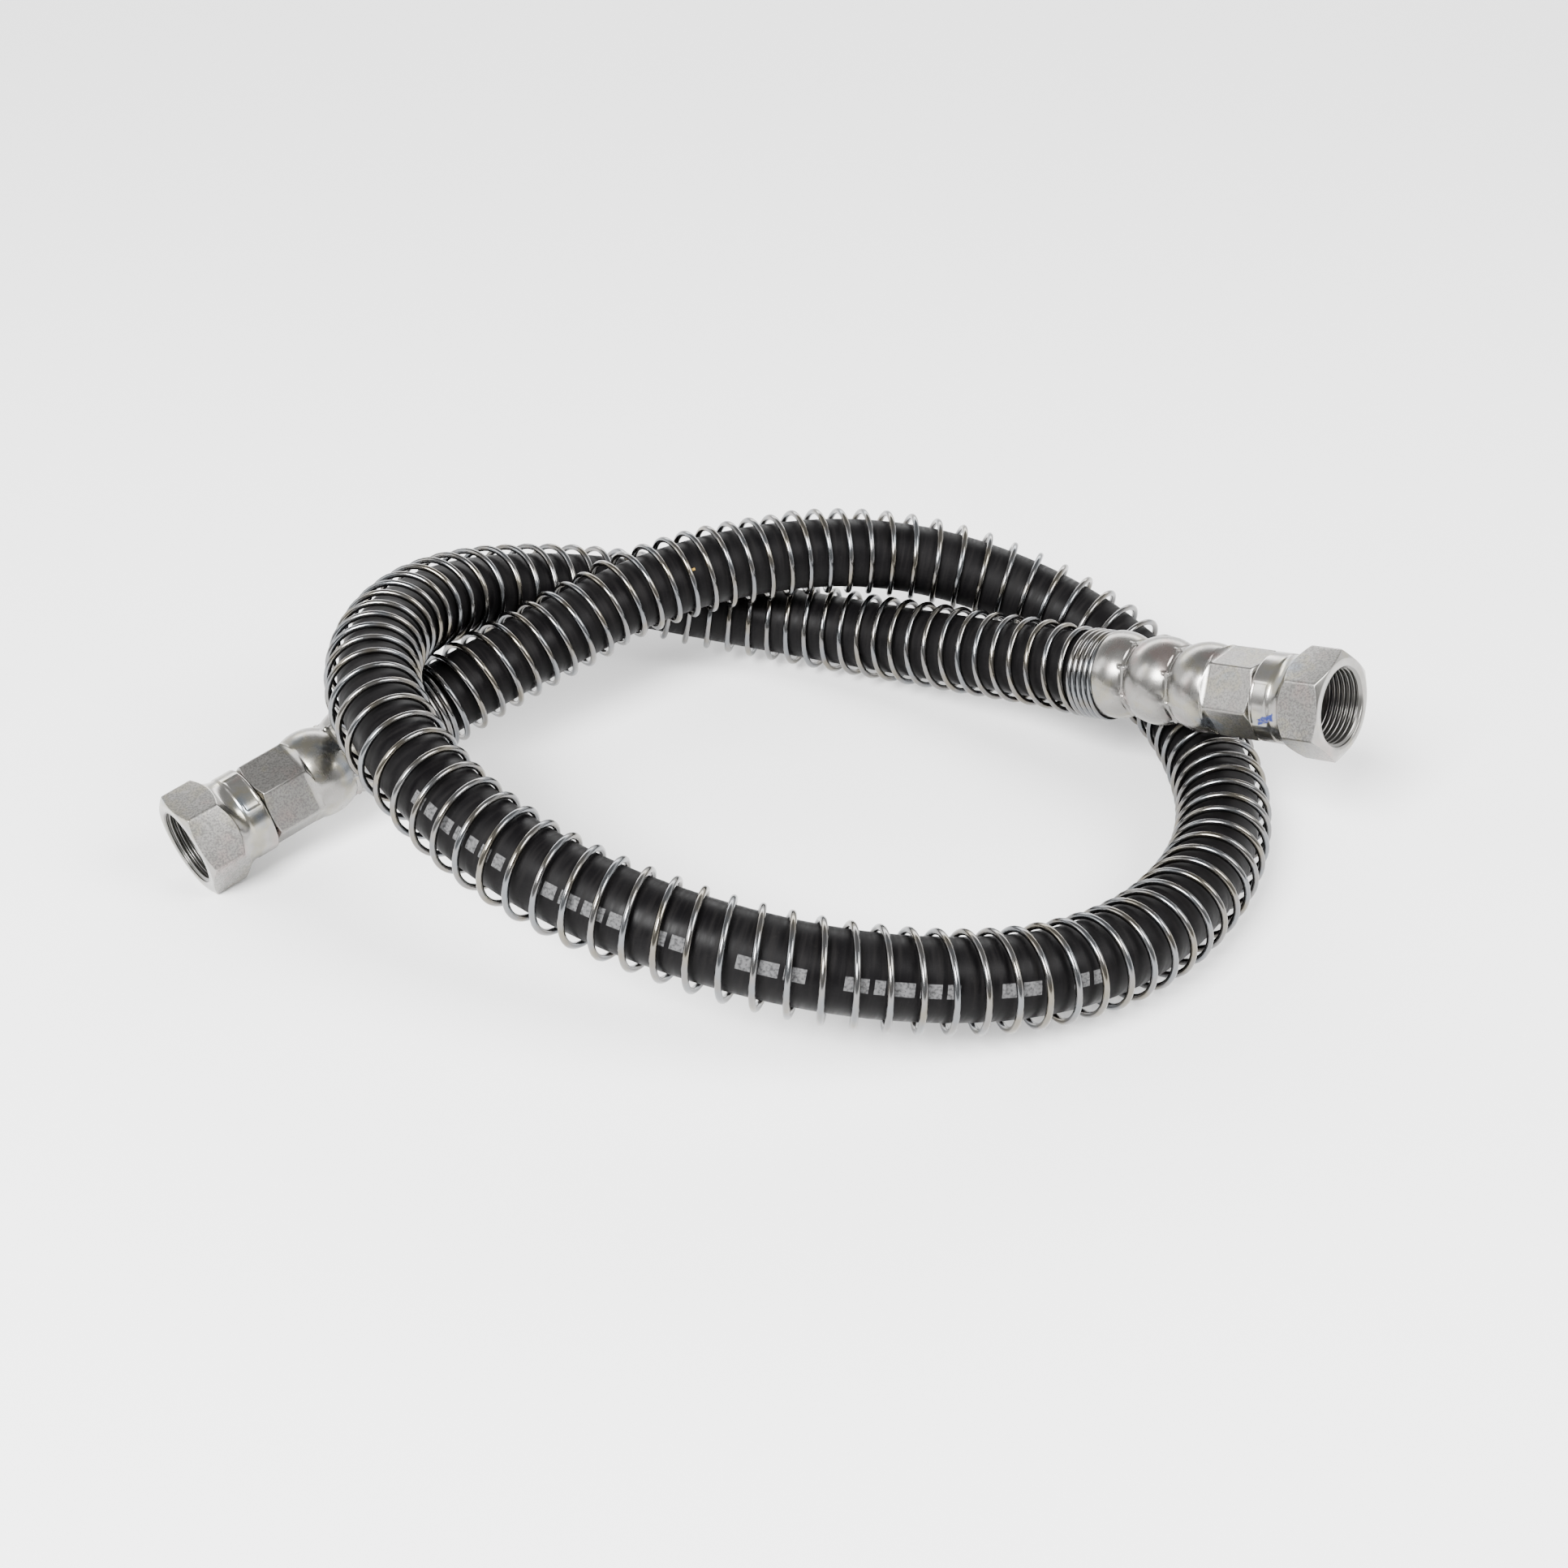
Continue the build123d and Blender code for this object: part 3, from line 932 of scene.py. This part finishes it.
# %% Zinc plate
def zinc_plate(name, dull, shade, dab=None):
    """Clear zinc: bright metal with faint colour stains, satin where it was milled, and painted shade in
    the bore.

    `dull` is the least roughness of the smooth parts, and `shade` scales the colours of the stains.
    """
    net = Network(name)
    place = net.add("TexCoord").outputs["Object"]
    unrolled = net.add("UVMap", uv_map="unrolled").outputs["UV"]
    milled = net.add("Attribute", attribute_name="milled").outputs["Fac"]
    inside = net.add("Attribute", attribute_name="inside").outputs["Fac"]
    grain = net.noise(place, grain_lumps, 3)
    lines = net.noise(unrolled, 1.0, 3, turning_lines)
    patches = net.between(net.noise(place, patch_lumps, 4), 0.42, 0.66)

    hues = [(stop, [shade * part for part in hue]) for stop, hue in zinc_hues]
    colour = net.ramp(net.noise(place, stain_lumps, 3), hues)
    specks = net.math("MULTIPLY", net.between(grain, 0.44, 0.60), net.math("MULTIPLY", milled, speck_share))
    colour = net.mix(specks, colour, speck_grey)
    colour = net.mix(net.math("MULTIPLY", patches, patch_share), colour, patch_grey)
    # Painted shade: inside the nut, the colour goes to a darker grey.
    colour = net.mix(net.math("MULTIPLY", inside, bore_shade_share), colour, bore_shade_grey)

    satin = net.between(net.noise(place, fine_lumps, 2), 0.3, 0.7, *satin_rough)
    rough = net.between(net.math("ADD", patches, lines), 0.3, 1.4, dull, dull + gloss_reach)
    rough = net.add("Mix", {0: inside, 2: rough, 3: bore_rough}).outputs[0]
    rough = net.add("Mix", {0: milled, 2: rough, 3: satin}).outputs[0]

    turned = net.math("SUBTRACT", line_depth, milled, clamp=True)
    turned = net.math("SUBTRACT", turned, inside, clamp=True)
    height = net.math("ADD", net.math("MULTIPLY", grain, milled), net.math("MULTIPLY", lines, turned))
    dings = net.between(net.noise(place, ding_lumps, 1), 0.73, 0.83)
    dings = net.math("MULTIPLY", dings, net.math("SUBTRACT", 1.0, inside))
    normal = net.bump(height, *grain_bump)
    normal = net.bump(dings, *ding_bump, onto=normal)

    metallic = zinc_metal
    if dab is not None:
        paint = dab_mask(net, unrolled, *dab)
        colour = net.mix(paint, colour, paint_blue)
        rough = net.math("MAXIMUM", rough, net.math("MULTIPLY", paint, paint_rough))
        metallic = net.math("SUBTRACT", zinc_metal, paint, clamp=True)
    net.join(net.shader, {"Base Color": colour, "Metallic": metallic, "Roughness": rough,
                          "Normal": normal})
    return net.material


# %% [markdown]
# ## Spring wire
#
# The wire is drawn through a die and then plated. It mirrors the room almost like a thread of chrome, so
# its look comes from its gloss. A little uneven roughness, in long lines along the wire, keeps the
# mirror from looking like glass, and a slow change of tint stands for the uneven coat.

# %% Spring wire
wire_hues = [(0.36, (0.145, 0.134, 0.112)), (0.48, (0.150, 0.146, 0.142)), (0.60, (0.140, 0.146, 0.153))]
skin_lumps = 110
drawn_lines = (30, 1800, 1)
wire_rough = (0.15, 0.21)


def spring_wire_material():
    """Bright drawn wire: metal with an uneven zinc skin, whose gloss varies in lines along it."""
    net = Network("bright_wire")
    place = net.add("TexCoord").outputs["Object"]
    unrolled = net.add("UVMap", uv_map="unrolled").outputs["UV"]
    drawn = net.noise(unrolled, 1.0, 1, drawn_lines)
    skin = net.noise(place, skin_lumps, 2)
    rough = net.between(net.math("ADD", drawn, skin), 0.6, 1.3, *wire_rough)
    net.join(net.shader, {"Base Color": net.ramp(skin, wire_hues), "Metallic": 1.0, "Roughness": rough})
    return net.material


# %% [markdown]
# ## Rubber and its printed line
#
# A hose's cover is cured under a tight wrapping, which leaves dim streaks round it, and then a wheel
# prints a light line along it. The unrolled coordinates are in metres, so both can be laid out as on
# paper: the streaks as noise that is stretched round the hose, and the line as a row of plain bars, which
# stand for words without saying anything. The streaks also lighten the rubber's colour a little, which is
# painted sheen.

# %% The printed line
line_turn = np.radians(290.5)
line_distance = 430 * MM
line_slope = np.radians(65)
line_height = 3.6 * MM
ink_edge = 0.1 * MM
bar_gap = 1.2 * MM
line_words = {
    414.5: [3, 4], 431: [4.5, 4], 450.5: [3, 5, 5.5, 2.5, 5.5], 485.5: [5, 4.5, 4], 512.5: [4.5, 2.5],
    529: [3.5, 5.5, 5, 3.5], 561.5: [3, 3, 3, 3, 5, 3, 4],
}


def bar_row(net, along, start, widths):
    """The bars of one word: white over each bar's width, black between them and beyond them."""
    word = sum(widths) + bar_gap * (len(widths) + 1)
    stops = [(0.0, (0, 0, 0))]
    edge = bar_gap
    for width in widths:
        stops += [(edge / word, (1, 1, 1)), ((edge + width) / word, (0, 0, 0))]
        edge += width + bar_gap
    share = net.between(along, start - bar_gap, start - bar_gap + word)
    return net.ramp(share, stops, constant=True)


def print_mask(net, unrolled):
    """Light bars in a row along the hose: inside the row's height, and on one of its bars."""
    split = net.add("SeparateXYZ", {"Vector": unrolled})
    along, around = split.outputs["X"], split.outputs["Y"]
    drift = net.math("MULTIPLY", net.math("SUBTRACT", along, line_distance), line_slope * cover_radius)
    middle = net.math("ADD", drift, line_turn * cover_radius)
    across = net.math("ABSOLUTE", net.math("SUBTRACT", around, middle))
    row = net.between(across, 0.5 * line_height - ink_edge, 0.5 * line_height + ink_edge, 1, 0)
    bars = 0.0
    for start, widths in line_words.items():
        bars = net.math("ADD", bars, bar_row(net, along, start * MM, [w * MM for w in widths]))
    worn = net.between(net.noise(unrolled, 1300, 3), 0.36, 0.56, 0.35, 0.9)
    return net.math("MULTIPLY", net.math("MULTIPLY", row, bars), worn)


# %% A fleck of paint
fleck_distance, fleck_turn = 97.4 * MM, np.radians(50.5)
fleck_half_length, fleck_half_width = 1.0 * MM, 0.4 * MM
fleck_edge = 0.8


def fleck_mask(net, unrolled):
    """One small fleck of yellow paint: inside its half length along the hose and half width round it."""
    split = net.add("SeparateXYZ", {"Vector": unrolled})
    share = 1.0
    for output, middle, half in [("X", fleck_distance, fleck_half_length),
                                 ("Y", fleck_turn * cover_radius, fleck_half_width)]:
        off = net.math("ABSOLUTE", net.math("SUBTRACT", split.outputs[output], middle))
        share = net.math("MULTIPLY", share, net.between(off, fleck_edge * half, half, 1, 0))
    return share


# %% Cover rubber
rubber_blacks = [(0.35, (0.0020, 0.0018, 0.0021)), (0.65, (0.0038, 0.0036, 0.0039))]
# The light grey serves both the dust and the painted sheen on the wrapping streaks.
dust_and_sheen_grey, dust_share, sheen_streak_share = (0.035, 0.032, 0.03, 1), 0.06, 0.10
ink_grey, fleck_yellow = (0.11, 0.11, 0.112, 1), (0.42, 0.25, 0.05, 1)
cloud_lumps, dust_lumps, rubber_lumps = 60, 900, 4200
wrap_streaks = (900, 60, 1)
rubber_rough, rubber_specular = (0.36, 0.62), 0.07
streak_bump, rubber_bump = (0.06 * MM, 0.35), (0.012 * MM, 0.35)


def rubber_material():
    """Black satin rubber: dim streaks round the hose where it was wrapped, painted sheen on them, dust, and
    the printed line.
    """
    net = Network("black_rubber")
    place = net.add("TexCoord").outputs["Object"]
    unrolled = net.add("UVMap", uv_map="unrolled").outputs["UV"]
    streaks = net.noise(unrolled, 1.0, 3, wrap_streaks)
    cloud = net.noise(place, cloud_lumps, 3)
    grain = net.noise(place, rubber_lumps, 2)
    dust = net.between(net.noise(place, dust_lumps, 4), 0.60, 0.78, 0, dust_share)
    # Painted sheen: the wrapping streaks lighten the colour, on top of the dust.
    sheen_streaks = net.between(streaks, 0.46, 0.70, 0, sheen_streak_share)
    colour = net.mix(net.math("ADD", dust, sheen_streaks), net.ramp(cloud, rubber_blacks), dust_and_sheen_grey)
    colour = net.mix(print_mask(net, unrolled), colour, ink_grey)
    colour = net.mix(fleck_mask(net, unrolled), colour, fleck_yellow)
    rough = net.between(net.math("ADD", streaks, cloud), 0.75, 1.25, *rubber_rough)
    normal = net.bump(streaks, *streak_bump)
    normal = net.bump(grain, *rubber_bump, onto=normal)
    net.join(net.shader, {"Base Color": colour, "Roughness": rough, "Normal": normal,
                          "Specular IOR Level": rubber_specular})
    return net.material


# %% [markdown]
# ## Materials on the pieces
#
# The nuts are turned and keep their shine. The sockets are pressed, which leaves them duller and darker.
# One nut carries a dab of blue paint, such as a fitter leaves on a joint that was checked. It is placed
# in the nut's own unrolled coordinates: how far along the profile, and how far round.

# %% Put the materials on the pieces
def dress(piece, material):
    """One material for a whole piece."""
    piece.data.materials.clear()
    piece.data.materials.append(material)
    print(piece.name, "wears", material.name)


dab_height, dab_turn = 16.0 * MM, np.radians(356)
right_radius, right_height, _ = nut_profile("right", round_angles(nut_columns))
outside_row = np.argmax(right_height.mean(axis=1) > dab_height)
dab = profile_run(right_radius, right_height)[outside_row], dab_turn * unroll_radius
turned_look, pressed_look = {"dull": 0.18, "shade": 0.93}, {"dull": 0.23, "shade": 0.74}
pressed_plate = zinc_plate("pressed_zinc_plate", **pressed_look)
dress(nuts["left"], zinc_plate("turned_zinc_plate", **turned_look))
dress(nuts["right"], zinc_plate("marked_zinc_plate", **turned_look, dab=dab))
for piece in [*sockets.values(), *nipples.values()]:
    dress(piece, pressed_plate)
dress(guard, spring_wire_material())
dress(cover, rubber_material())
print("materials:", [m.name for m in bpy.data.materials])
